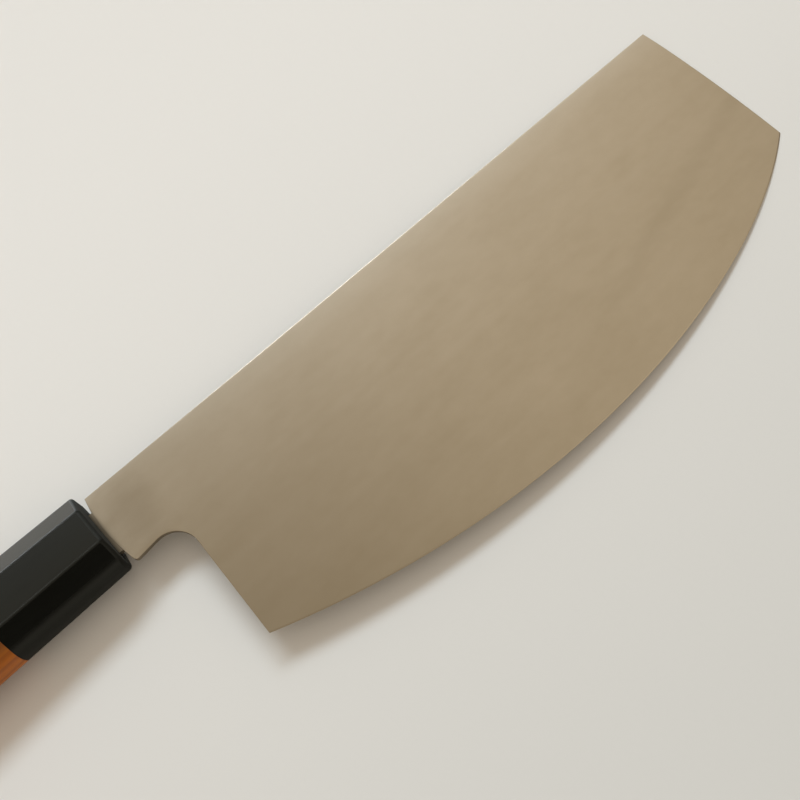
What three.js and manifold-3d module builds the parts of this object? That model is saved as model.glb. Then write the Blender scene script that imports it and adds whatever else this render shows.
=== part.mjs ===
// Sushi-cutting knife: a wide steel blade with a curved edge and a straight nose, on an
// octagonal wooden handle with a black ferrule. It lies on its side, as on a table:
// the ferrule's lower front edge and the nose of the blade touch the table at z = 0.
import * as THREE from 'three';
import { mergeVertices } from 'three/addons/utils/BufferGeometryUtils.js';
import Module from 'manifold-3d';

// Driving dimensions, in millimetres, and angles in degrees.
// Building axes: x from the ferrule's face towards the nose, y towards the spine,
// z square to the blade. The handle's axis is y = 0, z = 0.

// Blade outline
const edgeLength = 210;      // heel corner to nose corner, in a straight line
const spineRise = 10.6;      // spine above the handle's axis
const heelHeight = 61;       // spine to heel corner
const noseHeight = 54;       // spine to nose corner
const heelSetback = 15.5;    // ferrule's face to heel corner
const heelLean = 3;          // the heel line leans back towards its corner
const noseRake = 1.9;        // nose corner ahead of the spine's end
const noseBow = 0.7;         // how far the nose line swells
const heelSweep = 21;        // the edge leaves the heel at this angle to the spine
const noseSweep = 34.5;      // and comes up to the nose at this one
const heelPull = 95.7;       // reach of the edge curve's handle at the heel
const nosePull = 43.2;       // and at the nose

// Neck between the blade and the handle
const shoulderGap = 1.9;     // ferrule's face to the shoulders' outer corners
const shoulderBow = 1.3;     // how far the shoulders swell towards the ferrule
const neckWidth = 22.9;      // spine to the neck's lower corner
const neckSlope = 5.5;       // the neck's underside climbs towards the choil
const neckCornerRadius = 1;
const choilRadius = 7.2;     // hollow between the neck and the heel

// Blade thickness
const neckThickness = 2.2;   // at the shoulders
const noseThickness = 1.6;   // spine at the nose
const grindThickness = 0.3;  // where the cutting bevel starts
const bevelWidth = 0.4;      // cutting bevel, up to the sharp edge

// Tang, hidden in the handle
const tangLength = 85;       // behind the ferrule's face
const tangThickness = 2;
const tangTop = 6.2;         // above the axis at the shoulders
const tangBottom = 7.6;      // below the axis at the shoulders
const tangRootWidth = 10.4;  // once behind the ferrule's front wall
const tangTipWidth = 6;

// Handle, an octagon that grows from the ferrule's face to the butt. Its two ridges
// on the edge side are rounded, the other six are crisp.
const handleLength = 140;
const frontWidth = 24.3;
const frontThickness = 21.1;
const frontFacet = 6.85;     // leg of the sloping facet
const frontRound = 7.3;      // radius of the rounded ridges
const buttWidth = 28;
const buttThickness = 24.3;
const buttFacet = 7.9;
const buttRound = 8.4;
const ferruleLength = 34.5;
const ferruleFrontWall = 4;
const ferruleChamfer = 0.6;
const buttChamfer = 1.5;

// Inner fit
const glueGap = 0.3;         // clearance between glued pieces
const slotRoomAbove = 0.8;   // slot's end above the tang
const slotRoomBelow = 1.6;   // slot's end below the tang
const beddingLength = 8;
const dowelWall = 1.6;       // wood left round the mortise
const dowelPastTang = 6;     // dowel behind the tang's end

// Mesh fineness
const edgeSteps = 40;
const choilSteps = 8;
const neckSteps = 4;
const upperRows = 5;
const lowerRows = 6;
const roundSides = 40;
const ridgeSteps = 8;
const weldDistance = 1e-5;   // corners closer than this are one

const radians = THREE.MathUtils.degToRad;
const lerp = THREE.MathUtils.lerp;
const point = (x, y) => new THREE.Vector2(x, y);
const heading = (degrees) => point(Math.cos(radians(degrees)), Math.sin(radians(degrees)));

const wasm = await Module();
wasm.setup();

// A closed geometry as a solid that can be joined and cut.
function solid(geometry) {
  const bare = geometry.clone();
  for (const name of ['normal', 'uv']) bare.deleteAttribute(name);
  const welded = mergeVertices(bare, weldDistance);
  return new wasm.Manifold(new wasm.Mesh({
    numProp: 3,
    vertProperties: new Float32Array(welded.attributes.position.array),
    triVerts: new Uint32Array(welded.index.array),
  }));
}

function geometryOf(body) {
  const { vertProperties, triVerts } = body.getMesh();
  const geometry = new THREE.BufferGeometry();
  geometry.setAttribute('position', new THREE.BufferAttribute(vertProperties, 3));
  geometry.setIndex(new THREE.BufferAttribute(triVerts, 1));
  geometry.computeVertexNormals();
  return geometry;
}

// Loose triangles, collected face by face.
class Faces {
  corners = [];

  triangle(...points) {
    const [a, b, c] = points;
    if (a.equals(b) || b.equals(c) || c.equals(a)) return;
    for (const p of points) this.corners.push(p.x, p.y, p.z);
  }

  quad(a, b, c, d) {
    this.triangle(a, b, c);
    this.triangle(a, c, d);
  }

  geometry() {
    const geometry = new THREE.BufferGeometry();
    geometry.setAttribute('position', new THREE.Float32BufferAttribute(this.corners, 3));
    return geometry;
  }
}

// The arc that rounds a corner between two straight sides. Each side is a unit direction
// that leads away from the corner.
function roundedCorner(corner, sideA, sideB, radius, steps) {
  const half = Math.acos(sideA.dot(sideB)) / 2;
  const reach = radius / Math.tan(half);
  const middle = sideA.clone().add(sideB).normalize();
  const centre = corner.clone().addScaledVector(middle, radius / Math.sin(half));
  const first = corner.clone().addScaledVector(sideA, reach).sub(centre);
  const last = corner.clone().addScaledVector(sideB, reach).sub(centre);
  const sweep = Math.atan2(first.cross(last), first.dot(last));
  return Array.from({ length: steps + 1 }, (_, k) =>
    first.clone().rotateAround(point(0, 0), (sweep * k) / steps).add(centre));
}

function crossing(a, alongA, b, alongB) {
  const distance = b.clone().sub(a).cross(alongB) / alongA.cross(alongB);
  return a.clone().addScaledVector(alongA, distance);
}

// Corners of the blade's outline.
const heelCorner = point(heelSetback, spineRise - heelHeight);
const edgeRun = Math.sqrt(edgeLength ** 2 - (heelHeight - noseHeight) ** 2);
const noseCorner = point(heelSetback + edgeRun, spineRise - noseHeight);
const spineEnd = point(noseCorner.x - noseRake, spineRise);
const heelUp = heading(90 - heelLean);
const heelTop = crossing(heelCorner, heelUp, spineEnd, heading(180));
const neckCorner = point(shoulderGap, spineRise - neckWidth);
const underNeck = heading(neckSlope);
const choilCorner = crossing(neckCorner, underNeck, heelCorner, heelUp);

const edge = new THREE.CubicBezierCurve(
  heelCorner,
  heelCorner.clone().addScaledVector(heading(-heelSweep), heelPull),
  noseCorner.clone().addScaledVector(heading(noseSweep), -nosePull),
  noseCorner,
);

// Lower side of the neck, from its rounded corner to the foot of the choil on the heel line.
const underside = [
  ...roundedCorner(neckCorner, heading(90), underNeck, neckCornerRadius, neckSteps),
  ...roundedCorner(choilCorner, underNeck.clone().negate(), heelUp.clone().negate(),
    choilRadius, choilSteps),
];
const choilFoot = underside.at(-1);
const choilShare = heelTop.distanceTo(choilFoot) / heelTop.distanceTo(heelCorner);

// Half the blade's thickness: the spine thins towards the nose, and the sides run
// flat from the spine to the start of the cutting bevel.
function spineHalf(x) {
  const along = (x - shoulderGap) / (noseCorner.x - shoulderGap);
  return lerp(neckThickness, noseThickness, along) / 2;
}

function ground(x, share) {
  return lerp(spineHalf(x), grindThickness / 2, share);
}

// One column of the panel, from the spine down to the edge.
function panelColumn(along) {
  const top = heelTop.clone().lerp(spineEnd, along);
  const bottom = edge.getPoint(along);
  const bevelShare = 1 - bevelWidth / top.distanceTo(bottom);
  const shares = [];
  for (let row = 0; row <= upperRows; row++) shares.push((choilShare * row) / upperRows);
  for (let row = 1; row <= lowerRows; row++) {
    shares.push(lerp(choilShare, bevelShare, row / lowerRows));
  }
  const column = shares.map((share) => {
    const at = top.clone().lerp(bottom, share);
    at.x += noseBow * 4 * share * (1 - share) * along ** 2;
    return { x: at.x, y: at.y, half: ground(at.x, share / bevelShare) };
  });
  column.push({ x: bottom.x, y: bottom.y, half: 0 });
  return column;
}

// One column of the neck. The full thickness of the shoulders fades into the panel's taper.
function neckColumn(foot, along) {
  const top = point(lerp(shoulderGap, heelTop.x, along), spineRise);
  return Array.from({ length: upperRows + 1 }, (_, row) => {
    const share = row / upperRows;
    const at = top.clone().lerp(foot, share);
    at.x -= shoulderBow * 4 * share * (1 - share) * (1 - along) ** 2;
    const taper = choilShare * share;
    return { x: at.x, y: at.y, half: ground(at.x, taper * THREE.MathUtils.smoothstep(along, 0, 1)) };
  });
}

function bladePanel() {
  const feet = underside.slice(0, -1);
  const neck = feet.map((foot, k) => neckColumn(foot, k / feet.length));
  const panel = Array.from({ length: edgeSteps + 1 }, (_, k) => panelColumn(k / edgeSteps));
  const columns = [...neck, ...panel];
  const faces = new Faces();
  const upper = (p) => new THREE.Vector3(p.x, p.y, p.half);
  const lower = (p) => new THREE.Vector3(p.x, p.y, -p.half);
  for (let k = 0; k + 1 < columns.length; k++) {
    const [left, right] = [columns[k], columns[k + 1]];
    for (let row = 0; row + 1 < Math.min(left.length, right.length); row++) {
      const ring = [left[row + 1], right[row + 1], right[row], left[row]];
      faces.quad(...ring.map(upper));
      faces.quad(...ring.reverse().map(lower));
    }
  }
  const outline = [
    ...columns[0],
    ...neck.slice(1).map((column) => column.at(-1)),
    ...panel[0].slice(upperRows),
    ...panel.slice(1).map((column) => column.at(-1)),
    ...panel.at(-1).toReversed().slice(1),
    ...columns.toReversed().slice(1).map((column) => column[0]),
  ];
  for (let k = 0; k + 1 < outline.length; k++) {
    const [from, to] = [outline[k], outline[k + 1]];
    faces.quad(lower(from), lower(to), upper(to), upper(from));
  }
  return faces.geometry();
}

// A flat bar cut to an outline, centred on z = 0.
function flatBar(outline, thickness) {
  const bar = new THREE.ExtrudeGeometry(new THREE.Shape(outline), {
    depth: thickness,
    bevelEnabled: false,
  });
  return bar.translate(0, 0, -thickness / 2);
}

function tang() {
  const rootInNeck = shoulderGap + neckCornerRadius;
  const behindWall = -ferruleFrontWall;
  return flatBar([
    point(rootInNeck, tangTop),
    point(0, tangTop),
    point(behindWall, tangRootWidth / 2),
    point(-tangLength, tangTipWidth / 2),
    point(-tangLength, -tangTipWidth / 2),
    point(behindWall, -tangRootWidth / 2),
    point(0, -tangBottom),
    point(rootInNeck, -tangBottom),
  ], tangThickness);
}

const blade = geometryOf(solid(bladePanel()).add(solid(tang())));

// Half sizes of the handle at a place along its axis, drawn in by a chamfer.
function handleSize(x, inset) {
  const along = -x / handleLength;
  return {
    y: lerp(frontWidth, buttWidth, along) / 2 - inset,
    z: lerp(frontThickness, buttThickness, along) / 2 - inset,
    facet: lerp(frontFacet, buttFacet, along) - inset * (2 - Math.SQRT2),
    round: lerp(frontRound, buttRound, along) - inset,
  };
}

function handleSection(x, inset = 0) {
  const { y, z, facet, round } = handleSize(x, inset);
  const ridge = roundedCorner(point(-y, z - facet), heading(45), heading(-90), round, ridgeSteps);
  const upper = [point(y, z - facet), point(y - facet, z), point(facet - y, z), ...ridge];
  const lower = upper.toReversed().map((p) => point(p.x, -p.y));
  return [...upper, ...lower].map((p) => new THREE.Vector3(x, p.x, p.y));
}

// A closed body through sections that are listed from the front to the back.
function handleBody(sections) {
  const faces = new Faces();
  const sides = sections[0].length;
  for (let k = 0; k + 1 < sections.length; k++) {
    const [front, back] = [sections[k], sections[k + 1]];
    for (let side = 0; side < sides; side++) {
      const next = (side + 1) % sides;
      faces.quad(front[side], back[side], back[next], front[next]);
    }
  }
  const [front, back] = [sections[0], sections.at(-1)];
  for (let side = 1; side + 1 < sides; side++) {
    faces.triangle(front[0], front[side], front[side + 1]);
    faces.triangle(back[0], back[side + 1], back[side]);
  }
  return faces.geometry();
}

// A block or a round bar between two places along the handle's axis.
function block(from, to, bottom, top, thickness) {
  const box = new THREE.BoxGeometry(to - from, top - bottom, thickness);
  return box.translate((from + to) / 2, (bottom + top) / 2, 0);
}

function roundBar(from, to, radius) {
  const bar = new THREE.CylinderGeometry(radius, radius, to - from, roundSides);
  return bar.rotateZ(Math.PI / 2).translate((from + to) / 2, 0, 0);
}

// Places along the handle, and the dowel's size round the tang.
const mortiseWidth = tangRootWidth + 2 * glueGap;
const mortiseThickness = tangThickness + 2 * glueGap;
const dowelRadius = Math.hypot(mortiseWidth, mortiseThickness) / 2 + dowelWall;
const boreRadius = dowelRadius + glueGap;
const beddingFront = -ferruleFrontWall - glueGap;
const dowelFront = beddingFront - beddingLength - glueGap;
const dowelBack = -tangLength - dowelPastTang;
const boreBack = dowelBack - glueGap;
const mortiseBack = -tangLength - glueGap;
const gripFront = -ferruleLength - glueGap;

function ferrule() {
  const body = solid(handleBody([
    handleSection(0, ferruleChamfer),
    handleSection(-ferruleChamfer),
    handleSection(-ferruleLength),
  ]));
  const past = ferruleChamfer;
  const slot = block(-ferruleFrontWall - past, past, -tangBottom - slotRoomBelow,
    tangTop + slotRoomAbove, mortiseThickness);
  const bore = roundBar(-ferruleLength - past, -ferruleFrontWall, boreRadius);
  return geometryOf(body.subtract(solid(slot)).subtract(solid(bore)));
}

function grip() {
  const body = solid(handleBody([
    handleSection(gripFront),
    handleSection(-handleLength + buttChamfer),
    handleSection(-handleLength, buttChamfer),
  ]));
  const bore = roundBar(boreBack, gripFront + glueGap, boreRadius);
  return geometryOf(body.subtract(solid(bore)));
}

function coreDowel() {
  const mortise = block(mortiseBack, dowelFront + glueGap, -mortiseWidth / 2, mortiseWidth / 2,
    mortiseThickness);
  return geometryOf(solid(roundBar(dowelBack, dowelFront, dowelRadius)).subtract(solid(mortise)));
}

function tangBedding() {
  const back = beddingFront - beddingLength;
  const hole = block(back - glueGap, beddingFront + glueGap, -mortiseWidth / 2, mortiseWidth / 2,
    mortiseThickness);
  return geometryOf(solid(roundBar(back, beddingFront, dowelRadius)).subtract(solid(hole)));
}

function piece(name, geometry, color, roughness, metalness) {
  const material = new THREE.MeshStandardMaterial({ color, roughness, metalness });
  const mesh = new THREE.Mesh(geometry, material);
  mesh.name = name;
  return mesh;
}

const knife = new THREE.Group();
knife.add(
  piece('blade', blade, 0xa8977d, 0.38, 1),
  piece('ferrule', ferrule(), 0x1d1e1b, 0.45, 0),
  piece('grip', grip(), 0xa5602a, 0.55, 0),
  piece('core_dowel', coreDowel(), 0xcaa676, 0.8, 0),
  piece('tang_bedding', tangBedding(), 0x6b5a3c, 0.5, 0),
);

// Rest pose: the knife stands on the lower front corner of the ferrule, on the spine's end
// and on the nose beside the edge. The origin is the middle of the knife, on the table.
const front = handleSize(-ferruleChamfer, 0);
const ferruleFoot = new THREE.Vector3(-ferruleChamfer, front.facet - front.y, -front.z);
const noseFoot = new THREE.Vector3(noseCorner.x, noseCorner.y + bevelWidth, -grindThickness / 2);
const spineFoot = new THREE.Vector3(spineEnd.x, spineEnd.y, -spineHalf(spineEnd.x));
const table = new THREE.Plane().setFromCoplanarPoints(ferruleFoot, noseFoot, spineFoot);
knife.quaternion.setFromUnitVectors(table.normal, new THREE.Vector3(0, 0, 1));
knife.updateMatrixWorld(true);
const extent = new THREE.Box3().setFromObject(knife, true);
const middle = extent.getCenter(new THREE.Vector3());
knife.position.set(-middle.x, -middle.y, -extent.min.z);

export default knife;
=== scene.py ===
# %% [markdown]
# # A sushi knife on a pale table
# The knife is a broad steel blade with a long curved edge, set in an eight-sided wooden
# handle with a black ferrule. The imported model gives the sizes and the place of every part.
# This script loads it as a fixed frame, makes a finer body for each part that shows, and
# gives every part its finish. Sizes are in millimetres, as on a drawing, until a piece is
# put in its place.

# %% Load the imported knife
import math

import bmesh
import bpy
from mathutils import Matrix, Vector


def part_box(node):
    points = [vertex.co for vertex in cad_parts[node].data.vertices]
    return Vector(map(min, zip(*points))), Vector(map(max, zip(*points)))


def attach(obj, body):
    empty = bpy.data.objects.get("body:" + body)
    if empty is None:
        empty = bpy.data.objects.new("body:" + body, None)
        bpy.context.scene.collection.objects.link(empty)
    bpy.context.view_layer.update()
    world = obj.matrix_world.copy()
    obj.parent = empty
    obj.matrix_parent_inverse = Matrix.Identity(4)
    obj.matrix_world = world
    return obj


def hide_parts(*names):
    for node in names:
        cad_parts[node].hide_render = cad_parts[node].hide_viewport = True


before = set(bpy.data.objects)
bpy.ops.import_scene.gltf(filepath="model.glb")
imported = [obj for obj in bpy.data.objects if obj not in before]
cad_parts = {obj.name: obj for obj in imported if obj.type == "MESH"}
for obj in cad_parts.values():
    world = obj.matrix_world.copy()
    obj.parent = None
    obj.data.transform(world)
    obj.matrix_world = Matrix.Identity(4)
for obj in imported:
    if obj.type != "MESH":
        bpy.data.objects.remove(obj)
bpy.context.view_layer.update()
scene = bpy.context.scene
scene.view_settings.view_transform = "Standard"
print("packed parts:", sorted(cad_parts))

# %% [markdown]
# ## How the knife lies
# The drawing's axes run with the knife: x from the ferrule's face towards the nose, y towards
# the spine, z out of the side of the blade. On the table the knife is tipped a little, since
# it rests on three points: the ferrule's lower front corner and both corners of the nose.
# The tip follows from those three points. The place along the table could be typed in as
# numbers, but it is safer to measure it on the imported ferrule, whose front face is x = 0.

# %% Sizes that set how it lies
FERRULE_BREAK = 0.6
HANDLE_WIDTH = 24.3
HANDLE_THICKNESS = 21.1
HANDLE_FACET = 6.85
HANDLE_LENGTH = 140
BUTT_WIDTH = 28
HANDLE_GROWTH = BUTT_WIDTH / HANDLE_WIDTH - 1
SPINE_RISE = 10.6
EDGE_LENGTH = 210
HEEL_SETBACK = 15.5
HEEL_HEIGHT = 61
NOSE_HEIGHT = 54
edge_along = math.sqrt(EDGE_LENGTH ** 2 - (HEEL_HEIGHT - NOSE_HEIGHT) ** 2)
NOSE_CORNER = Vector((HEEL_SETBACK + edge_along, SPINE_RISE - NOSE_HEIGHT))
NOSE_RAKE = 1.9
NOSE_THICKNESS = 1.6
GRIND_THICKNESS = 0.3
BEVEL_WIDTH = 0.4

# %% Tip the knife on its three feet
grown = 1 + HANDLE_GROWTH * FERRULE_BREAK / HANDLE_LENGTH
ferrule_foot = Vector((-FERRULE_BREAK, (HANDLE_FACET - HANDLE_WIDTH / 2) * grown,
                       -HANDLE_THICKNESS / 2 * grown))
nose_foot = Vector((NOSE_CORNER.x, NOSE_CORNER.y + BEVEL_WIDTH, -GRIND_THICKNESS / 2))
spine_foot = Vector((NOSE_CORNER.x - NOSE_RAKE, SPINE_RISE, -NOSE_THICKNESS / 2))
table_up = (nose_foot - ferrule_foot).cross(spine_foot - ferrule_foot).normalized()
tipped = table_up.rotation_difference(Vector((0, 0, 1))).to_matrix()
print("tipped by", round(math.degrees(table_up.angle(Vector((0, 0, 1)))), 2), "degrees")

# %% Measure where the ferrule's face is
MM = 0.001
ferrule_points = [v.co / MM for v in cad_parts["ferrule"].data.vertices]


def reach(axis):
    along = [point.dot(axis) for point in ferrule_points]
    return min(along), max(along)


knife_axes = [tipped.col[k] for k in range(3)]
face_out = reach(knife_axes[0])[1]
axis_y = sum(reach(knife_axes[1])) / 2
axis_z = sum(reach(knife_axes[2])) / 2
face_centre = knife_axes[0] * face_out + knife_axes[1] * axis_y + knife_axes[2] * axis_z
in_place = Matrix.Scale(MM, 4) @ Matrix.Translation(face_centre) @ tipped.to_4x4()
print("ferrule's face is centred at", [round(v, 3) for v in face_centre], "mm")

# %% [markdown]
# ## Camera
# The photograph looks down on the knife from the handle's end, with the blade running up to
# the right. The eye's place and the picture's slant were found by matching the corners of
# the blade and the ferrule with their pixels, so they are given as measured places here.

# %% Camera
EYE = Vector((-7.209, -78.383, 260.628))
AIM = Vector((40.051, 0.594, 8.0))
PICTURE_UP = Vector((0.66186, 0.67127, 0.33367))
FOCAL_PIXELS = 977
PICTURE_PIXELS = 800
SENSOR = 36

eye_data = bpy.data.cameras.new("eye")
eye_data.sensor_width = SENSOR
eye_data.lens = SENSOR * FOCAL_PIXELS / PICTURE_PIXELS
eye_data.clip_start = 0.01
eye = bpy.data.objects.new("eye", eye_data)
scene.collection.objects.link(eye)
back = (EYE - AIM).normalized()
right = PICTURE_UP.cross(back).normalized()
turn = Matrix((right, back.cross(right), back)).transposed().to_4x4()
eye.matrix_world = Matrix.Translation(EYE * MM) @ turn
scene.camera = eye
print("lens", round(eye_data.lens, 2), "mm, eye", round((EYE - AIM).length), "mm from its aim")

# %% [markdown]
# ## Wiring nodes by writing sums
# A finish is a web of nodes, and most of it is plain sums on masks and patterns. Adding each
# node by hand hides the sum. So a small class wraps one socket and takes over Python's
# operators: writing `1 - mask` lays out the Math node that does it. Every other node comes
# from one method, which takes the node's type, its settings and what goes into its sockets.

# %% A wire and a bench to lay nodes on
def socket_of(sockets, key):
    if isinstance(key, int):
        return sockets[key]
    return next(s for s in sockets if s.identifier == key)


class Wire:
    """A socket that carries a value. Sums on wires add Math nodes."""

    def __init__(self, bench, socket):
        self.bench = bench
        self.socket = socket

    def sum(self, operation, first, second):
        return self.bench.node("ShaderNodeMath", {"operation": operation}, {0: first, 1: second})

    def __add__(self, other):
        return self.sum("ADD", self, other)

    def __radd__(self, other):
        return self.sum("ADD", other, self)

    def __sub__(self, other):
        return self.sum("SUBTRACT", self, other)

    def __rsub__(self, other):
        return self.sum("SUBTRACT", other, self)

    def __mul__(self, other):
        return self.sum("MULTIPLY", self, other)

    def __rmul__(self, other):
        return self.sum("MULTIPLY", other, self)

    def __truediv__(self, other):
        return self.sum("DIVIDE", self, other)

    def __pow__(self, other):
        return self.sum("POWER", self, other)

    def __abs__(self):
        return self.bench.node("ShaderNodeMath", {"operation": "ABSOLUTE"}, {0: self})

    def least(self, other):
        return self.sum("MINIMUM", self, other)


class Bench:
    """A node tree on which nodes are laid and wired."""

    def __init__(self, tree):
        self.tree = tree

    def node(self, kind, settings=None, sockets=None, out=0):
        laid = self.tree.nodes.new(kind)
        for name, value in (settings or {}).items():
            if name == "stops":
                self.lay_stops(laid.color_ramp, value)
            else:
                setattr(laid, name, value)
        for key, value in (sockets or {}).items():
            self.plug(value, socket_of(laid.inputs, key))
        return Wire(self, socket_of(laid.outputs, out)) if laid.outputs else laid

    def plug(self, value, socket):
        for single in value if isinstance(value, list) else [value]:
            if isinstance(single, Wire):
                self.tree.links.new(single.socket, socket)
            else:
                socket.default_value = single

    def lay_stops(self, ramp, stops):
        while len(ramp.elements) < len(stops):
            ramp.elements.new(1)
        for element, (place, colour) in zip(ramp.elements, stops):
            element.position = place
            element.color = colour


print("wire and bench ready")

# %% [markdown]
# ## What every finish needs
# A finish reads where it is on the knife. Object coordinates give that in the table's frame,
# and a Mapping node turns them back to the drawing's axes in millimetres, so grain runs with
# the handle and polish with the blade. Noise pulled out along one axis makes fibres and
# brush lines, and colours are written as the eye sees them, from 0 to 255.

# %% Finish
def seen(red, green, blue):
    """A colour as seen on a screen, made linear for the shader."""
    def linear(value):
        share = value / 255
        return share / 12.92 if share <= 0.04045 else ((share + 0.055) / 1.055) ** 2.4
    return (linear(red), linear(green), linear(blue), 1)


class Finish(Bench):
    """A material with one Principled shader."""

    def __init__(self, name):
        self.material = bpy.data.materials.new(name)
        self.material.use_nodes = True
        super().__init__(self.material.node_tree)
        self.tree.nodes.clear()
        shader = self.node("ShaderNodeBsdfPrincipled")
        self.shader = shader.socket.node
        self.node("ShaderNodeOutputMaterial", None, {"Surface": shader})

    def feed(self, **inputs):
        for name, value in inputs.items():
            self.plug(value, self.shader.inputs[name.replace("_", " ").title()])

    def place(self):
        """Where a point is on the knife, in millimetres along the drawing's axes."""
        back_turn = tipped.transposed()
        spot = self.node("ShaderNodeTexCoord", None, None, "Object")
        return self.node("ShaderNodeMapping", {"vector_type": "POINT"}, {
            "Vector": spot,
            "Scale": (1 / MM, 1 / MM, 1 / MM),
            "Rotation": back_turn.to_euler(),
            "Location": -(back_turn @ face_centre),
        })

    def split(self, vector):
        parts = self.node("ShaderNodeSeparateXYZ", None, {"Vector": vector}).socket.node
        return [Wire(self, out) for out in parts.outputs]

    def drawn_out(self, vector, stretch):
        return self.node("ShaderNodeVectorMath", {"operation": "DIVIDE"}, {0: vector, 1: stretch})

    def noise(self, vector, stretch, detail, roughness):
        """Noise whose lumps are about as long as stretch, in millimetres along each axis."""
        return self.node("ShaderNodeTexNoise", None, {
            "Vector": self.drawn_out(vector, stretch),
            "Scale": 1.0, "Detail": detail, "Roughness": roughness,
        }, "Fac")

    def between(self, value, low, high):
        """0 below low, 1 above high, and a smooth rise between them."""
        return self.node("ShaderNodeMapRange", {"interpolation_type": "SMOOTHSTEP"}, {
            "Value": value, "From Min": low, "From Max": high})

    def blend(self, share, first, second):
        return self.node("ShaderNodeMix", {"data_type": "RGBA"}, {
            "Factor_Float": share, "A_Color": first, "B_Color": second}, "Result_Color")

    def relief(self, height, depth):
        """Bump from a height between 0 and 1 that stands for depth in millimetres."""
        return self.node("ShaderNodeBump", None, {"Height": height, "Distance": depth * MM})


print("finishes can be mixed")

# %% [markdown]
# ## Satin steel
# The blade is ground and then polished by hand, which leaves a soft satin with fine lines
# along the blade and a slightly cloudy tone. A flat grey would look like plastic, and painted
# streaks would look drawn on. So the tone varies only a little: broad clouds, small scuffs and
# fine lines pulled out along x. Shade is painted into the colour as well: painted shade towards
# the heel, a stain with painted shade on the neck, and tarnish with painted shade in the joint
# with the ferrule. The faces square to the side are darker, and a faint line near the nose is
# darker where the wide grind meets the flat. The roughness stays above 0.27 all over: below
# that, taking the noise out of a picture treats the steel as a mirror, and the satin breaks up
# into streaks.

# %% Satin steel
# Stain and painted shade on the neck: a soft dark patch that reaches down over its lower half.
STAIN_AND_SHADE = (9.5, -3.0)
STAIN_AND_SHADE_SQUASH = 0.55
STAIN_AND_SHADE_FULL_TO = 5.0
STAIN_AND_SHADE_GONE_FROM = 16.0
STAIN_AND_SHADE_RAGGED_BY_CLOUDS = 5
STAIN_AND_SHADE_RAGGED_BY_SCUFFS = 4
STAIN_AND_SHADE_SHARE = 0.3
HEEL = (HEEL_SETBACK, SPINE_RISE - HEEL_HEIGHT)
HEEL_REACH = 110.0
HEEL_SHARE = 0.39
GRIND_LINE_AT_FACE = -86.6
GRIND_LINE_SLOPE = 0.271
GRIND_LINE_REACH = 5.0
GRIND_LINE_FADE = (125, 175)
GRIND_LINE_SHARE = 0.07
JOINT_DARK_TO = -0.4
JOINT_CLEAR_FROM = 1.9
steel = Finish("satin_steel")
place = steel.place()
x, y, z = steel.split(place)
clouds = steel.noise(place, (30, 14, 14), 3.0, 0.6)
lines = steel.noise(place, (70, 2.2, 70), 0.0, 0.5)
scuffs = steel.noise(place, (6, 3.5, 3.5), 4.0, 0.6)
tone = 0.55 * clouds + 0.1 * lines + 0.35 * scuffs


def away_from(x, y, spot, squash=1.0):
    return ((x - spot[0]) ** 2 + ((y - spot[1]) * squash) ** 2) ** 0.5


ragged = STAIN_AND_SHADE_RAGGED_BY_CLOUDS * clouds + STAIN_AND_SHADE_RAGGED_BY_SCUFFS * scuffs
# Distance from the centre of the neck's stain and painted shade, made ragged by noise.
from_stain_and_shade = away_from(x, y, STAIN_AND_SHADE, STAIN_AND_SHADE_SQUASH) + ragged
stain_and_shade = 1 - steel.between(from_stain_and_shade, STAIN_AND_SHADE_FULL_TO, STAIN_AND_SHADE_GONE_FROM)
# Painted shade: the steel darkens towards the heel.
heel_shade = 1 - steel.between(away_from(x, y, HEEL), 0.0, HEEL_REACH)
off_line = abs(y - GRIND_LINE_SLOPE * x - GRIND_LINE_AT_FACE)
near_line = 1 - steel.between(off_line, 0.0, GRIND_LINE_REACH)
grind_line = near_line * steel.between(x, *GRIND_LINE_FADE)
# Tarnish and painted shade: the steel darkens in the joint with the ferrule.
joint = 1 - steel.between(x, JOINT_DARK_TO, JOINT_CLEAR_FROM)
wall = steel.node("ShaderNodeAttribute", {"attribute_name": "wall"}, None, "Fac")
bright = steel.blend(tone, seen(171, 156, 132), seen(192, 177, 154))
# The heel's painted shade, the neck's stain and painted shade, and the grind line pull the steel
# towards a darker colour.
shade = heel_shade * HEEL_SHARE + stain_and_shade * STAIN_AND_SHADE_SHARE + grind_line * GRIND_LINE_SHARE
shaded = steel.blend(shade, bright, seen(128, 113, 89))
# Base colour: tarnish and painted shade in the joint, and darker faces square to the side.
steel.feed(
    base_color=steel.blend(0.5 * wall + (0.75 - 0.25 * wall) * joint, shaded, seen(74, 68, 54)),
    metallic=1.0,
    roughness=0.255 + 0.05 * lines + 0.05 * clouds + 0.18 * wall,
    normal=steel.relief(lines, 0.0008),
)
print("steel has", len(steel.tree.nodes), "nodes")

# %% [markdown]
# ## The blade
# Seen from the side the blade is a straight spine, a straight nose, a curved edge, and a neck
# with a hollow behind the heel. In thickness it thins from the spine to the edge and from the
# handle to the nose, and ends in a very narrow cutting bevel. It could be a flat outline made
# thick and bent, but a ground blade is simpler as columns of points: each column runs from
# the spine down to the edge, and its half thickness follows the grind. Polishing rolls the
# side off by a fifth of a millimetre towards the spine, so the rows lie closer there.

# %% Outline of the blade
HEEL_CORNER = Vector(HEEL)
NOSE_BOW = 0.7
HEEL_LEAN = 3
HEEL_SWEEP = 21
NOSE_SWEEP = 34.5
HEEL_PULL = 95.7
NOSE_PULL = 43.2
SHOULDER_GAP = 1.9
NECK_WIDTH = 22.9
NECK_SLOPE = 5.5
NECK_CORNER_RADIUS = 1.0
NECK_CORNER_STEPS = 8
CHOIL_RADIUS = 7.2
CHOIL_STEPS = 40


def heading(degrees):
    return Vector((math.cos(math.radians(degrees)), math.sin(math.radians(degrees))))


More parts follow.
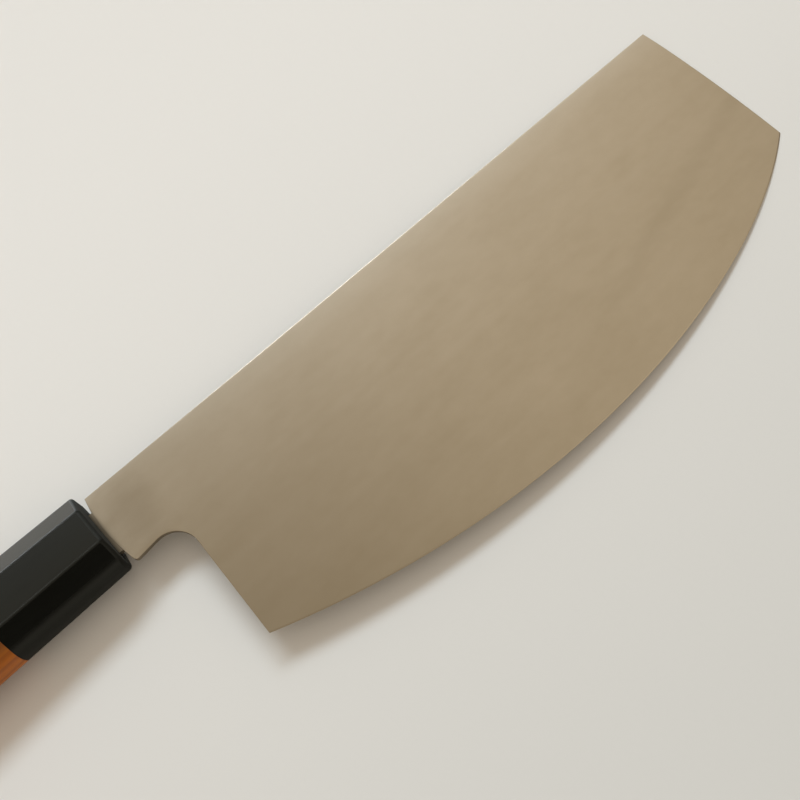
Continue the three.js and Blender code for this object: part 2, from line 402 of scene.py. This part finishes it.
def crossing(start, along, other, other_along):
    gap = other - start
    return start + along * (gap.cross(other_along) / along.cross(other_along))


def rounded_corner(corner, side_a, side_b, radius, steps):
    """Points of the arc between two sides that lead away from a corner."""
    half = side_a.angle(side_b) / 2
    centre = corner + (side_a + side_b).normalized() * (radius / math.sin(half))
    first = corner + side_a * (radius / math.tan(half)) - centre
    last = corner + side_b * (radius / math.tan(half)) - centre
    sweep = math.atan2(first.cross(last), first.dot(last))
    return [centre + Matrix.Rotation(sweep * k / steps, 2) @ first for k in range(steps + 1)]


spine_end = Vector((NOSE_CORNER.x - NOSE_RAKE, SPINE_RISE))
heel_up = heading(90 - HEEL_LEAN)
heel_top = crossing(HEEL_CORNER, heel_up, spine_end, heading(180))
neck_corner = Vector((SHOULDER_GAP, SPINE_RISE - NECK_WIDTH))
under_neck = heading(NECK_SLOPE)
choil_corner = crossing(neck_corner, under_neck, HEEL_CORNER, heel_up)
underside = rounded_corner(neck_corner, heading(90), under_neck,
                           NECK_CORNER_RADIUS, NECK_CORNER_STEPS)
underside += rounded_corner(choil_corner, -under_neck, -heel_up, CHOIL_RADIUS, CHOIL_STEPS)
choil_share = (heel_top - underside[-1]).length / (heel_top - HEEL_CORNER).length
print("blade is", round((NOSE_CORNER - HEEL_CORNER).length, 1), "mm from heel to nose")

# %% Grind of the blade
NECK_THICKNESS = 2.2


def lerp(first, second, share):
    return first + (second - first) * share


def smooth(share):
    return share * share * (3 - 2 * share)


def ground(along_x, share):
    """Half the thickness at a place along the spine and a share of the way to the bevel."""
    along = (along_x - SHOULDER_GAP) / (NOSE_CORNER.x - SHOULDER_GAP)
    return lerp(lerp(NECK_THICKNESS, NOSE_THICKNESS, along), GRIND_THICKNESS, share) / 2


print("spine is", round(2 * ground(spine_end.x, 0), 2), "mm thick at the nose")

# %% Columns from the spine to the edge
EDGE_STEPS = 220
UPPER_ROWS = 8
LOWER_ROWS = 10
SHOULDER_BOW = 1.3
ROLL_ROWS = 6
ROLL_WIDTH = 10
ROLL_DEPTH = 0.2
ROLL_FULL_FROM = 60


def edge_point(share):
    rest = 1 - share
    heel_handle = HEEL_CORNER + heading(-HEEL_SWEEP) * HEEL_PULL
    nose_handle = NOSE_CORNER - heading(NOSE_SWEEP) * NOSE_PULL
    return (HEEL_CORNER * rest ** 3 + heel_handle * (3 * rest ** 2 * share)
            + nose_handle * (3 * rest * share ** 2) + NOSE_CORNER * share ** 3)


def upper_shares(roll, foot):
    """Shares of the way down: close together while the polish rolls off, then even."""
    shares = [roll * row / ROLL_ROWS for row in range(ROLL_ROWS)]
    return shares + [lerp(roll, foot, row / UPPER_ROWS) for row in range(UPPER_ROWS)] + [foot]


def rolled(at):
    """How far the side has rolled off at a place, towards the spine and away from the neck."""
    along = min(1, max(0, at.x / ROLL_FULL_FROM))
    return ROLL_DEPTH * along * max(0, 1 - (SPINE_RISE - at.y) / ROLL_WIDTH) ** 2


def panel_column(along):
    top = heel_top.lerp(spine_end, along)
    bottom = edge_point(along)
    bevel_share = 1 - BEVEL_WIDTH / (bottom - top).length
    shares = upper_shares(ROLL_WIDTH / (bottom - top).length, choil_share)
    shares += [lerp(choil_share, bevel_share, row / LOWER_ROWS) for row in range(1, LOWER_ROWS + 1)]
    column = []
    for share in shares:
        at = top.lerp(bottom, share)
        at.x += NOSE_BOW * 4 * share * (1 - share) * along ** 2
        half = ground(at.x, share / bevel_share) - rolled(at)
        column.append(at.to_3d() + Vector((0, 0, half)))
    return column + [bottom.to_3d()]


def neck_column(foot, along):
    top = Vector((lerp(SHOULDER_GAP, heel_top.x, along), SPINE_RISE))
    column = []
    for share in upper_shares(ROLL_WIDTH / (foot - top).length, 1):
        at = top.lerp(foot, share)
        at.x -= SHOULDER_BOW * 4 * share * (1 - share) * (1 - along) ** 2
        half = ground(at.x, choil_share * share * smooth(along)) - rolled(at)
        column.append(at.to_3d() + Vector((0, 0, half)))
    return column


feet = underside[:-1]
columns = [neck_column(foot, k / len(feet)) for k, foot in enumerate(feet)]
columns += [panel_column(k / EDGE_STEPS) for k in range(EDGE_STEPS + 1)]
print(len(columns), "columns,", sum(len(column) for column in columns), "points a side")

# %% [markdown]
# The two sides are the same columns, once above and once below the middle. A strip of faces
# along the outline closes them. The rim of a real blade is eased with a stone so it doesn't
# bite the hand: a Bevel modifier does that, with a weight on each rim edge. The weight is
# largest along the middle of the spine, where the easing catches a thin line of light, and
# fades out where the blade is as thin as its edge. The modifier's clamp is off, since it would
# hold all the easing down to what the closest points allow. The tang is a flat bar joined on.

# %% Blade body
EASE = 0.2
EASE_ALONG = ((20, 0.12), (70, 0.9), (110, 0.9), (165, 0.5))
EASE_OTHER = 0.5
EASE_STEPS = 12


def ease_share(at, rim):
    """The spine is left crisp by the neck, and eased most where a finger presses on it."""
    eased = EASE_OTHER
    if rim == "spine":
        eased = EASE_ALONG[0][1]
        for (start, _), (stop, share) in zip(EASE_ALONG, EASE_ALONG[1:]):
            eased = lerp(eased, share, smooth(min(1, max(0, (at.x - start) / (stop - start)))))
    return eased * min(1, at.z / EASE)


def blade_mesh():
    shape = bmesh.new()
    upper = [[shape.verts.new(p) for p in column] for column in columns]
    lower = [[upper[c][r] if p.z == 0 else shape.verts.new((p.x, p.y, -p.z))
              for r, p in enumerate(column)] for c, column in enumerate(columns)]
    for c in range(len(columns) - 1):
        for r in range(min(len(columns[c]), len(columns[c + 1])) - 1):
            ring = [(c, r + 1), (c + 1, r + 1), (c + 1, r), (c, r)]
            shape.faces.new([upper[i][j] for i, j in ring])
            shape.faces.new([lower[i][j] for i, j in reversed(ring)])
    neck = len(feet)
    last = len(columns) - 1
    foot = len(columns[0]) - 1
    under = [(0, r) for r in range(foot + 1)]
    under += [(c, foot) for c in range(1, neck)]
    under += [(neck, r) for r in range(foot, len(columns[neck]))]
    nose = [(last, r) for r in reversed(range(len(columns[last])))]
    spine = [(c, 0) for c in reversed(range(last + 1))]
    weight = shape.edges.layers.float.new("bevel_weight_edge")
    for name, rim in (("under", under), ("nose", nose), ("spine", spine)):
        for (a, b), (c, d) in zip(rim, rim[1:]):
            wall = [lower[a][b], lower[c][d], upper[c][d], upper[a][b]]
            shape.faces.new(list(dict.fromkeys(wall)))
            thinner = min(columns[a][b], columns[c][d], key=lambda at: at.z)
            for side in (upper, lower):
                eased = shape.edges.get((side[a][b], side[c][d]))
                eased[weight] = ease_share(thinner, name)
    mesh = bpy.data.meshes.new("blade_body")
    shape.to_mesh(mesh)
    shape.free()
    return mesh


blade = bpy.data.objects.new("blade_body", blade_mesh())
scene.collection.objects.link(blade)
easing = blade.modifiers.new("easing", "BEVEL")
easing.limit_method = "WEIGHT"
easing.width = EASE
easing.segments = EASE_STEPS
easing.use_clamp_overlap = False
print("blade has", len(blade.data.polygons), "faces before easing")

# %% Tang
TANG_LENGTH = 85
TANG_THICKNESS = 2
TANG_TOP = 6.2
TANG_BOTTOM = 7.6
TANG_ROOT_WIDTH = 10.4
TANG_TIP_WIDTH = 6
FRONT_WALL = 4
tang_root = SHOULDER_GAP + NECK_CORNER_RADIUS
tang_side = [(tang_root, TANG_TOP), (0, TANG_TOP), (-FRONT_WALL, TANG_ROOT_WIDTH / 2),
             (-TANG_LENGTH, TANG_TIP_WIDTH / 2), (-TANG_LENGTH, -TANG_TIP_WIDTH / 2),
             (-FRONT_WALL, -TANG_ROOT_WIDTH / 2), (0, -TANG_BOTTOM), (tang_root, -TANG_BOTTOM)]
bar = bmesh.new()
front = bar.faces.new([bar.verts.new((px, py, TANG_THICKNESS / 2)) for px, py in tang_side])
pushed = bmesh.ops.extrude_face_region(bar, geom=[front], use_keep_orig=True)
for part in pushed["geom"]:
    if isinstance(part, bmesh.types.BMVert):
        part.co.z = -TANG_THICKNESS / 2
bmesh.ops.recalc_face_normals(bar, faces=bar.faces)
tang_mesh = bpy.data.meshes.new("tang")
bar.to_mesh(tang_mesh)
bar.free()
tang = bpy.data.objects.new("tang", tang_mesh)
scene.collection.objects.link(tang)
joined = blade.modifiers.new("tang", "BOOLEAN")
joined.operation = "UNION"
joined.solver = "EXACT"
joined.object = tang
print("tang reaches", TANG_LENGTH, "mm into the handle")

# %% Settle a piece in its place
SHARP_ABOVE = math.radians(8)
WALL_BELOW = 0.3


def mark_walls(mesh):
    """Marks the faces that stand square to the side of the knife."""
    side = knife_axes[2]
    marks = [1.0 if abs(face.normal.dot(side)) < WALL_BELOW else 0.0 for face in mesh.polygons]
    mesh.attributes.new("wall", "FLOAT", "FACE").data.foreach_set("value", marks)


def settle(piece, node, finish):
    """Makes a piece's modifiers plain mesh, puts it in place and hands it to the frame."""
    graph = bpy.context.evaluated_depsgraph_get()
    mesh = bpy.data.meshes.new_from_object(piece.evaluated_get(graph))
    piece.modifiers.clear()
    mesh.name = piece.name
    mesh.transform(in_place)
    mesh.shade_smooth()
    mesh.set_sharp_from_angle(angle=SHARP_ABOVE)
    mesh.materials.clear()
    mesh.materials.append(finish.material)
    piece.data = mesh
    mark_walls(mesh)
    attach(piece, "root")
    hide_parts(node)
    low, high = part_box(node)
    gap = max(max(abs(v.co[k] - min(max(v.co[k], low[k]), high[k])) for k in range(3))
              for v in mesh.vertices)
    print(piece.name, len(mesh.polygons), "faces, at most", round(gap / MM, 3),
          "mm outside its packed box")


settle(blade, "blade", steel)
bpy.data.objects.remove(tang)

# %% [markdown]
# ## Handle
# The ferrule and the grip are two lengths of one bar: an octagon that grows evenly from the
# ferrule's face to the butt. The two ridges on the edge side are rounded where the fingers
# close round them, and the other six are crisp. Such a rule suits Geometry Nodes: a rectangle
# is filleted twice, once for the facets and once for the ridges, and swept along a line whose
# points near each end draw it in, for the broken end edges. Slot and bore are cut out of it.

# %% Tree for a length of handle
ARC_STEPS = 24
BREAK_STEPS = 10
BORE_SIDES = 96


def handle_tree():
    tree = bpy.data.node_groups.new("handle_bar", "GeometryNodeTree")
    tree.interface.new_socket("Bar", in_out="OUTPUT", socket_type="NodeSocketGeometry")
    for name in ("Front", "Back", "Width", "Thickness", "Facet", "Soft ridge", "Crisp ridge",
                 "Growth", "Front break", "Back break", "Bore radius", "Bore front", "Bore back",
                 "Slot top", "Slot bottom", "Slot thickness", "Slot depth"):
        tree.interface.new_socket(name, in_out="INPUT", socket_type="NodeSocketFloat")
    tree.interface.new_socket("Finish", in_out="INPUT", socket_type="NodeSocketMaterial")
    bench = Bench(tree)
    size = {s.name: Wire(bench, s)
            for s in bench.node("NodeGroupInput").socket.node.outputs if s.name}
    return bench, size


bench, size = handle_tree()
print("handle tree has", len(size), "inputs")

# %% Section of the handle
EDGE_SIDE_FROM = -0.499
ridge_spot = bench.node("ShaderNodeSeparateXYZ", None,
                        {"Vector": bench.node("GeometryNodeInputPosition")}, "X")
on_edge_side = bench.node("FunctionNodeCompare", {"operation": "LESS_THAN"},
                          {"A": ridge_spot, "B": size["Width"] * EDGE_SIDE_FROM})
rectangle = bench.node("GeometryNodeCurvePrimitiveQuadrilateral", None,
                       {"Width": size["Width"], "Height": size["Thickness"]})
octagon = bench.node("GeometryNodeFilletCurve", {"mode": "POLY"},
                     {"Curve": rectangle, "Count": 1, "Radius": size["Facet"]})
ridge_radius = size["Crisp ridge"] + on_edge_side * (size["Soft ridge"] - size["Crisp ridge"])
section = bench.node("GeometryNodeFilletCurve", {"mode": "POLY"},
                     {"Curve": octagon, "Count": ARC_STEPS, "Radius": ridge_radius})
print("section: octagon with", ARC_STEPS, "steps round each ridge")

# %% Line along the handle
line_points = 2 * (BREAK_STEPS + 1)
step = bench.node("GeometryNodeInputIndex")
at_back = bench.node("FunctionNodeCompare", {"operation": "GREATER_THAN"},
                     {"A": step, "B": BREAK_STEPS + 0.5})
from_end = step.least(line_points - 1 - step)
swing = from_end * (math.pi / 2 / BREAK_STEPS)
break_size = size["Front break"] + at_back * (size["Back break"] - size["Front break"])
cosine = bench.node("ShaderNodeMath", {"operation": "COSINE"}, {0: swing})
sine = bench.node("ShaderNodeMath", {"operation": "SINE"}, {0: swing})
behind = size["Front"] + break_size * (1 - cosine)
ahead = size["Back"] - break_size * (1 - cosine)
distance = behind + at_back * (ahead - behind)
drawn_in = break_size * (1 - sine) * 4 / (size["Width"] + size["Thickness"])
line = bench.node("GeometryNodeResampleCurve", None, {
    "Curve": bench.node("GeometryNodeCurvePrimitiveLine"), "Count": line_points})
line = bench.node("GeometryNodeSetPosition", None, {
    "Geometry": line,
    "Position": bench.node("ShaderNodeCombineXYZ", None, {"X": 0 - distance}),
})
print("line has", line_points, "points")

# %% Sweep the section and cut the slot and the bore
bar = bench.node("GeometryNodeCurveToMesh", None, {
    "Curve": line, "Profile Curve": section, "Fill Caps": True,
    "Scale": 1 + size["Growth"] * distance - drawn_in,
})
bore_length = size["Bore back"] - size["Bore front"]
bore = bench.node("GeometryNodeTransform", None, {
    "Geometry": bench.node("GeometryNodeMeshCylinder", None, {
        "Vertices": BORE_SIDES, "Radius": size["Bore radius"], "Depth": bore_length}),
    "Rotation": (0, math.pi / 2, 0),
    "Translation": bench.node("ShaderNodeCombineXYZ", None, {
        "X": (size["Bore front"] + size["Bore back"]) * -0.5}),
})
slot_height = size["Slot top"] - size["Slot bottom"]
slot = bench.node("GeometryNodeTransform", None, {
    "Geometry": bench.node("GeometryNodeMeshCube", None, {
        "Size": bench.node("ShaderNodeCombineXYZ", None, {
            "X": size["Slot depth"] * 2, "Y": slot_height, "Z": size["Slot thickness"]})}),
    "Translation": bench.node("ShaderNodeCombineXYZ", None, {
        "X": 0 - size["Front"], "Y": (size["Slot top"] + size["Slot bottom"]) * 0.5}),
})
hollow = bench.node("GeometryNodeMeshBoolean", {"operation": "DIFFERENCE", "solver": "EXACT"},
                    {"Mesh 1": bar, "Mesh 2": [slot, bore]})
whole = bench.node("GeometryNodeRealizeInstances", None, {"Geometry": hollow})
finished = bench.node("GeometryNodeSetMaterial", None,
                      {"Geometry": whole, "Material": size["Finish"]})
bench.node("NodeGroupOutput", None, {0: finished})
print("handle tree has", len(bench.tree.nodes), "nodes")

# %% [markdown]
# ## Black ferrule
# The ferrule is polished black horn, which is dark all through, with hardly visible brown
# streaks along it. Its flat facets mirror the room, while its front edge, its crisp ridges and
# the round side under the fingers have gone dull with use. One gloss for all of it would look
# like plastic. How near a point is to a ridge can be worked out from the octagon itself, since
# it grows evenly along the handle.

# %% Rubbed ridges
def rubbed(finish, x, y, z, reach_mm):
    """1 on the crisp ridges of the handle, 0 further away than reach_mm."""
    grown = 1 - x * (HANDLE_GROWTH / HANDLE_LENGTH)
    across = abs(y / grown)
    up = abs(z / grown)
    half_width = HANDLE_WIDTH / 2
    half_thickness = HANDLE_THICKNESS / 2
    side = (across - half_width) ** 2 + (up - (half_thickness - HANDLE_FACET)) ** 2
    top = (across - (half_width - HANDLE_FACET)) ** 2 + (up - half_thickness) ** 2
    return 1 - finish.between(side.least(top) ** 0.5, 0.0, reach_mm)


print("ridges can be rubbed")

# %% Black horn
HORN_RUBBED = 0.7
FRONT_DULL = (0.3, 1.4)
FINGER_SIDE_DULL = (9.2, 12.6)
horn = Finish("black_horn")
place = horn.place()
x, y, z = horn.split(place)
streaks = horn.noise(place, (9, 1.5, 1.5), 4.0, 0.6)
grit = horn.noise(place, (0.9, 0.3, 0.3), 3.0, 0.6)
worn = rubbed(horn, x, y, z, HORN_RUBBED)
front = 1 - horn.between(0 - x, *FRONT_DULL)
matte = horn.between(0 - y, *FINGER_SIDE_DULL) + front
black = horn.blend(streaks, seen(4, 5, 4), seen(13, 14, 11))
horn.feed(
    base_color=horn.blend(worn * 0.2, black, seen(40, 39, 36)),
    roughness=(0.08 + 0.1 * grit + 0.12 * streaks + 0.45 * worn + 0.7 * matte).least(0.9),
    normal=horn.relief(grit, 0.0025),
)
horn.shader.inputs["Specular IOR Level"].default_value = 0.38
horn.shader.inputs["Specular Tint"].default_value = (1.0, 0.98, 0.84, 1)
print("horn has", len(horn.tree.nodes), "nodes")

# %% Ferrule
FERRULE_LENGTH = 34.5
FERRULE_ROUND = 1.1
GLUE_GAP = 0.3
SOFT_RIDGE = 7.3
CRISP_RIDGE = 0.35
DOWEL_WALL = 1.6
SLOT_ROOM_ABOVE = 0.8
SLOT_ROOM_BELOW = 1.6
TIGHT_BREAK = 0.05
CUT_PAST = 1
mortise_width = TANG_ROOT_WIDTH + 2 * GLUE_GAP
mortise_thickness = TANG_THICKNESS + 2 * GLUE_GAP
dowel_radius = math.hypot(mortise_width, mortise_thickness) / 2 + DOWEL_WALL
bore_radius = dowel_radius + GLUE_GAP


def handle_length(name, finish, **given):
    """A length of handle from the tree, whose inputs are set by their identifiers."""
    sizes = {"Width": HANDLE_WIDTH, "Thickness": HANDLE_THICKNESS, "Facet": HANDLE_FACET,
             "Soft ridge": SOFT_RIDGE, "Crisp ridge": CRISP_RIDGE,
             "Growth": HANDLE_GROWTH / HANDLE_LENGTH, "Bore radius": bore_radius,
             "Finish": finish.material}
    sizes.update({name.replace("_", " ").capitalize(): value for name, value in given.items()})
    piece = bpy.data.objects.new(name, bpy.data.meshes.new(name))
    scene.collection.objects.link(piece)
    sweep = piece.modifiers.new("handle_bar", "NODES")
    sweep.node_group = bench.tree
    for socket in bench.tree.interface.items_tree:
        if socket.in_out == "INPUT":
            value = sizes[socket.name]
            sweep[socket.identifier] = value if socket.name == "Finish" else float(value)
    return piece


ferrule = handle_length(
    "ferrule_body", horn, front=0, back=FERRULE_LENGTH,
    front_break=FERRULE_ROUND, back_break=TIGHT_BREAK,
    bore_front=FRONT_WALL, bore_back=FERRULE_LENGTH + CUT_PAST,
    slot_top=TANG_TOP + SLOT_ROOM_ABOVE, slot_bottom=-TANG_BOTTOM - SLOT_ROOM_BELOW,
    slot_thickness=mortise_thickness, slot_depth=FRONT_WALL + FERRULE_BREAK,
)
settle(ferrule, "ferrule", horn)

# %% [markdown]
# ## Wooden grip
# The grip is planed to its octagon from one straight billet, so the rings of the tree run
# along it: long lines on the sides and arcs on the butt. Rings drawn on each facet would not
# meet at the ridges. A solid pattern does: the distance from the pith of the tree, somewhere
# beside the billet, gives the rings, and noise pulled out along x gives fibres and pores. The
# side towards the edge is painted a brighter orange: painted light on the side that faces away
# from the window.

# %% Oiled wood
PITH = (-46.0, -30.0)
RING_WIDTH = 2.6
RING_SWAY = 7
LATE_RISE = (0.25, 0.85)
LATE_FALL = (0.9, 1.0)
PORE_RIM = (0.6, 0.72)
WOOD_RUBBED = 1.4
PAINTED_LIGHT_EDGE_SIDE = (8.0, 12.5)
wood = Finish("oiled_wood")
place = wood.place()
sway = wood.noise(place, (70, 16, 16), 2.0, 0.5)
x, y, z = wood.split(place)
from_pith = ((y - PITH[0]) ** 2 + (z - PITH[1]) ** 2) ** 0.5 + RING_SWAY * sway
ring = wood.node("ShaderNodeMath", {"operation": "FRACT"}, {0: from_pith / RING_WIDTH})
late = wood.between(ring, *LATE_RISE) * (1 - wood.between(ring, *LATE_FALL))
fibres = wood.noise(place, (26, 0.55, 0.55), 3.0, 0.6)
pores = wood.between(wood.noise(place, (7, 0.2, 0.2), 2.0, 0.5), *PORE_RIM)
patches = wood.noise(place, (45, 14, 14), 2.0, 0.5)
worn = rubbed(wood, x, y, z, WOOD_RUBBED)
# Painted light: the side towards the edge is made a brighter orange.
painted_edge_side_light = wood.between(0 - y, *PAINTED_LIGHT_EDGE_SIDE)
light = wood.blend(patches * 0.5 + 0.5 * painted_edge_side_light, seen(94, 61, 22), seen(204, 114, 16))
grain = wood.blend(late * 0.3 + fibres * 0.35, light, seen(112, 54, 16))
open_grain = wood.blend(pores * (1 - late) * 0.5, grain, seen(78, 38, 14))
wood.feed(
    base_color=wood.blend(worn * 0.3, open_grain, seen(112, 62, 28)),
    roughness=0.42 + 0.16 * fibres + 0.1 * pores - 0.08 * worn,
    normal=wood.relief(0.5 * fibres - pores * (1 - late), 0.03),
)
wood.shader.inputs["Specular IOR Level"].default_value = 0.3
print("wood has", len(wood.tree.nodes), "nodes")

# %% Grip
TIGHT_JOINT = 0.02
BUTT_BREAK = 1.5
DOWEL_PAST_TANG = 6
INSIDE_BORE = 1    # the grip has no slot, so the slot's cutter stays inside the bore
grip = handle_length(
    "grip_body", wood, front=FERRULE_LENGTH + TIGHT_JOINT, back=HANDLE_LENGTH,
    front_break=TIGHT_BREAK, back_break=BUTT_BREAK,
    bore_front=FERRULE_LENGTH - CUT_PAST, bore_back=TANG_LENGTH + DOWEL_PAST_TANG + GLUE_GAP,
    slot_top=INSIDE_BORE, slot_bottom=-INSIDE_BORE,
    slot_thickness=INSIDE_BORE, slot_depth=INSIDE_BORE,
)
settle(grip, "grip", wood)

# %% [markdown]
# ## Dowel and bedding inside the handle
# A pale wooden dowel holds the tang, and resin seals it behind the ferrule's front wall.
# Both are hidden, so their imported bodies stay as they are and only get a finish.

# %% Dowel and bedding
pale_wood = Finish("pale_wood")
place = pale_wood.place()
fibres = pale_wood.noise(place, (24, 0.5, 0.5), 3.0, 0.6)
pale_wood.feed(
    base_color=pale_wood.blend(fibres, seen(214, 184, 140), seen(176, 140, 94)),
    roughness=0.7 + 0.15 * fibres,
    normal=pale_wood.relief(fibres, 0.02),
)
resin = Finish("set_resin")
bubbles = resin.noise(resin.place(), (1.2, 1.2, 1.2), 3.0, 0.6)
resin.feed(
    base_color=resin.blend(bubbles, seen(118, 99, 66), seen(92, 76, 50)),
    roughness=0.4 + 0.2 * bubbles,
    normal=resin.relief(bubbles, 0.03),
)
for node, finish in (("core_dowel", pale_wood), ("tang_bedding", resin)):
    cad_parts[node].data.materials.clear()
    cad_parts[node].data.materials.append(finish.material)
    print(node, "gets", finish.material.name)

# %% [markdown]
# ## Table, window and room
# The knife lies on a smooth pale table near a window: soft light comes from the spine's side,
# and the rest of the room fills the shadows. Sun lamps with a wide angle give soft shadows
# that are the same all over the table, and three of them, side by side like the panes of a
# wide window, blur the shadow along the knife too. The room's own light is warm and strongest
# overhead. What the steel and the black facets mirror is graded apart from it: warm behind the
# edge, cool beside the window, with a bright low band that draws the thin line of light on the
# spine, and a dark patch that blackens the facet next to the edge. The camera sees a plain
# pale backdrop.

# %% Table
TABLE_SPAN = 12
TABLE_DIM_TO = -220
TABLE_LIGHT_FROM = 120
table_mesh = bpy.data.meshes.new("table")
half_span = TABLE_SPAN / 2
table_mesh.from_pydata(
    [(sx * half_span, sy * half_span, 0) for sx, sy in ((-1, -1), (1, -1), (1, 1), (-1, 1))],
    [], [(0, 1, 2, 3)])
table_top = bpy.data.objects.new("table", table_mesh)
scene.collection.objects.link(table_top)
paint = Finish("pale_table")
across = paint.split(paint.place())[1]
# Painted light: the table's colour is lighter towards the window and dimmer away from it.
painted_window_light = paint.between(across, TABLE_DIM_TO, TABLE_LIGHT_FROM)
paint.feed(base_color=paint.blend(painted_window_light, seen(208, 206, 200), seen(231, 228, 222)),
           roughness=0.7)
paint.shader.inputs["Specular IOR Level"].default_value = 0.2
table_mesh.materials.append(paint.material)
print("table is", TABLE_SPAN, "m wide")

# %% Window light
WINDOW_FROM = Vector((0.32, 0.76, 1.0))
PANE_OFFSETS = (-0.28, 0.0, 0.28)
WINDOW_ENERGY = 1.65
WINDOW_COLOUR = (0.84, 1.0, 1.15)
PANE_SPREAD = math.radians(16)
pane_data = bpy.data.lights.new("window_pane", "SUN")
pane_data.energy = WINDOW_ENERGY / len(PANE_OFFSETS)
pane_data.color = WINDOW_COLOUR
pane_data.angle = PANE_SPREAD
for offset in PANE_OFFSETS:
    pane = bpy.data.objects.new("window_pane", pane_data)
    pane_from = WINDOW_FROM + Vector((offset, 0, 0))
    pane.rotation_euler = pane_from.to_track_quat("Z", "Y").to_euler()
    pane.visible_glossy = False
    scene.collection.objects.link(pane)
print("window stands", round(math.degrees(math.asin(WINDOW_FROM.normalized().z))), "degrees up")

# %% Room
ROOM_PEAK = 12.0
ROOM_TONES = [(-1.0, 0.76), (-0.3, 0.76), (0.1, 0.66), (0.22, 0.7), (0.31, 0.82), (0.35, 0.87),
              (0.375, 0.95), (0.4, 1.04), (0.42, 1.2), (0.45, 1.3), (0.84, 1.3), (0.9, ROOM_PEAK)]
ROOM_LENGTHWISE = [(-0.1, 0.75), (0.3, 0.95), (0.6, 1.08), (0.75, 0.95), (0.92, 0.3)]
WARM = (1.08, 1.0, 0.86)
COOL = (0.95, 1.0, 1.08)
BAND = (0.9, 1.0, 1.14)
COOL_FROM = 0.33
COOL_TO = 0.43
DARK_WAY = Vector((-0.135, -0.896, 0.398)).normalized()
DARK_SHARE = 0.85
DARK_FROM = 0.86
DARK_FULL = 0.95
FILL_LOW = 0.32
FILL_OVERHEAD = 0.8
FILL_COLOUR = (1.13, 1.0, 0.85, 1)
world = bpy.data.worlds.new("room")
world.use_nodes = True
scene.world = world
room = Bench(world.node_tree)
room.tree.nodes.clear()
way = room.node("ShaderNodeTexCoord", None, None, "Generated")
parts = room.node("ShaderNodeSeparateXYZ", None, {"Vector": way}).socket.node
to_nose, to_window, overhead = [Wire(room, out) for out in parts.outputs]


def room_colour(turn, tone):
    """The colour of a stop: warm away from the window, cool beside it, bluish in the low band."""
    cool = min(1, max(0, (turn - COOL_FROM) / (COOL_TO - COOL_FROM)))
    side = BAND if tone == ROOM_PEAK else COOL
    return (*[lerp(warm, cold, cool) * tone / ROOM_PEAK for warm, cold in zip(WARM, side)], 1)


tones = room.node("ShaderNodeValToRGB", {"stops": [
    ((turn + 1) / 2, room_colour(turn, tone)) for turn, tone in ROOM_TONES
]}, {"Fac": (to_window + 1) * 0.5})
lengthwise = room.node("ShaderNodeValToRGB", {"stops": [
    ((turn + 1) / 2, (share, share, share, 1)) for turn, share in ROOM_LENGTHWISE
]}, {"Fac": (to_nose + 1) * 0.5})
towards_dark = room.node("ShaderNodeVectorMath", {"operation": "DOT_PRODUCT"},
                         {0: way, 1: DARK_WAY}, "Value")
dark = room.node("ShaderNodeMapRange", {"interpolation_type": "SMOOTHSTEP"},
                 {"Value": towards_dark, "From Min": DARK_FROM, "From Max": DARK_FULL})
lit = room.node("ShaderNodeBackground", None, {
    "Color": room.node("ShaderNodeMix", {"data_type": "RGBA", "blend_type": "MULTIPLY"}, {
        "Factor_Float": 1.0, "A_Color": tones, "B_Color": lengthwise}, "Result_Color"),
    "Strength": ROOM_PEAK - ROOM_PEAK * DARK_SHARE * dark})
fill = room.node("ShaderNodeBackground", None, {
    "Color": FILL_COLOUR, "Strength": FILL_LOW + (FILL_OVERHEAD - FILL_LOW) * overhead ** 2})
seen_room = room.node("ShaderNodeBackground", None, {"Color": seen(228, 225, 218)})
in_view = room.node("ShaderNodeLightPath", None, None, "Is Camera Ray")
mirrored = room.node("ShaderNodeLightPath", None, None, "Is Glossy Ray")
backdrop = room.node("ShaderNodeMixShader", None, {
    0: in_view,
    1: room.node("ShaderNodeMixShader", None, {0: mirrored, 1: fill, 2: lit}),
    2: seen_room})
room.node("ShaderNodeOutputWorld", None, {"Surface": backdrop})
print("room has", len(room.tree.nodes), "nodes")
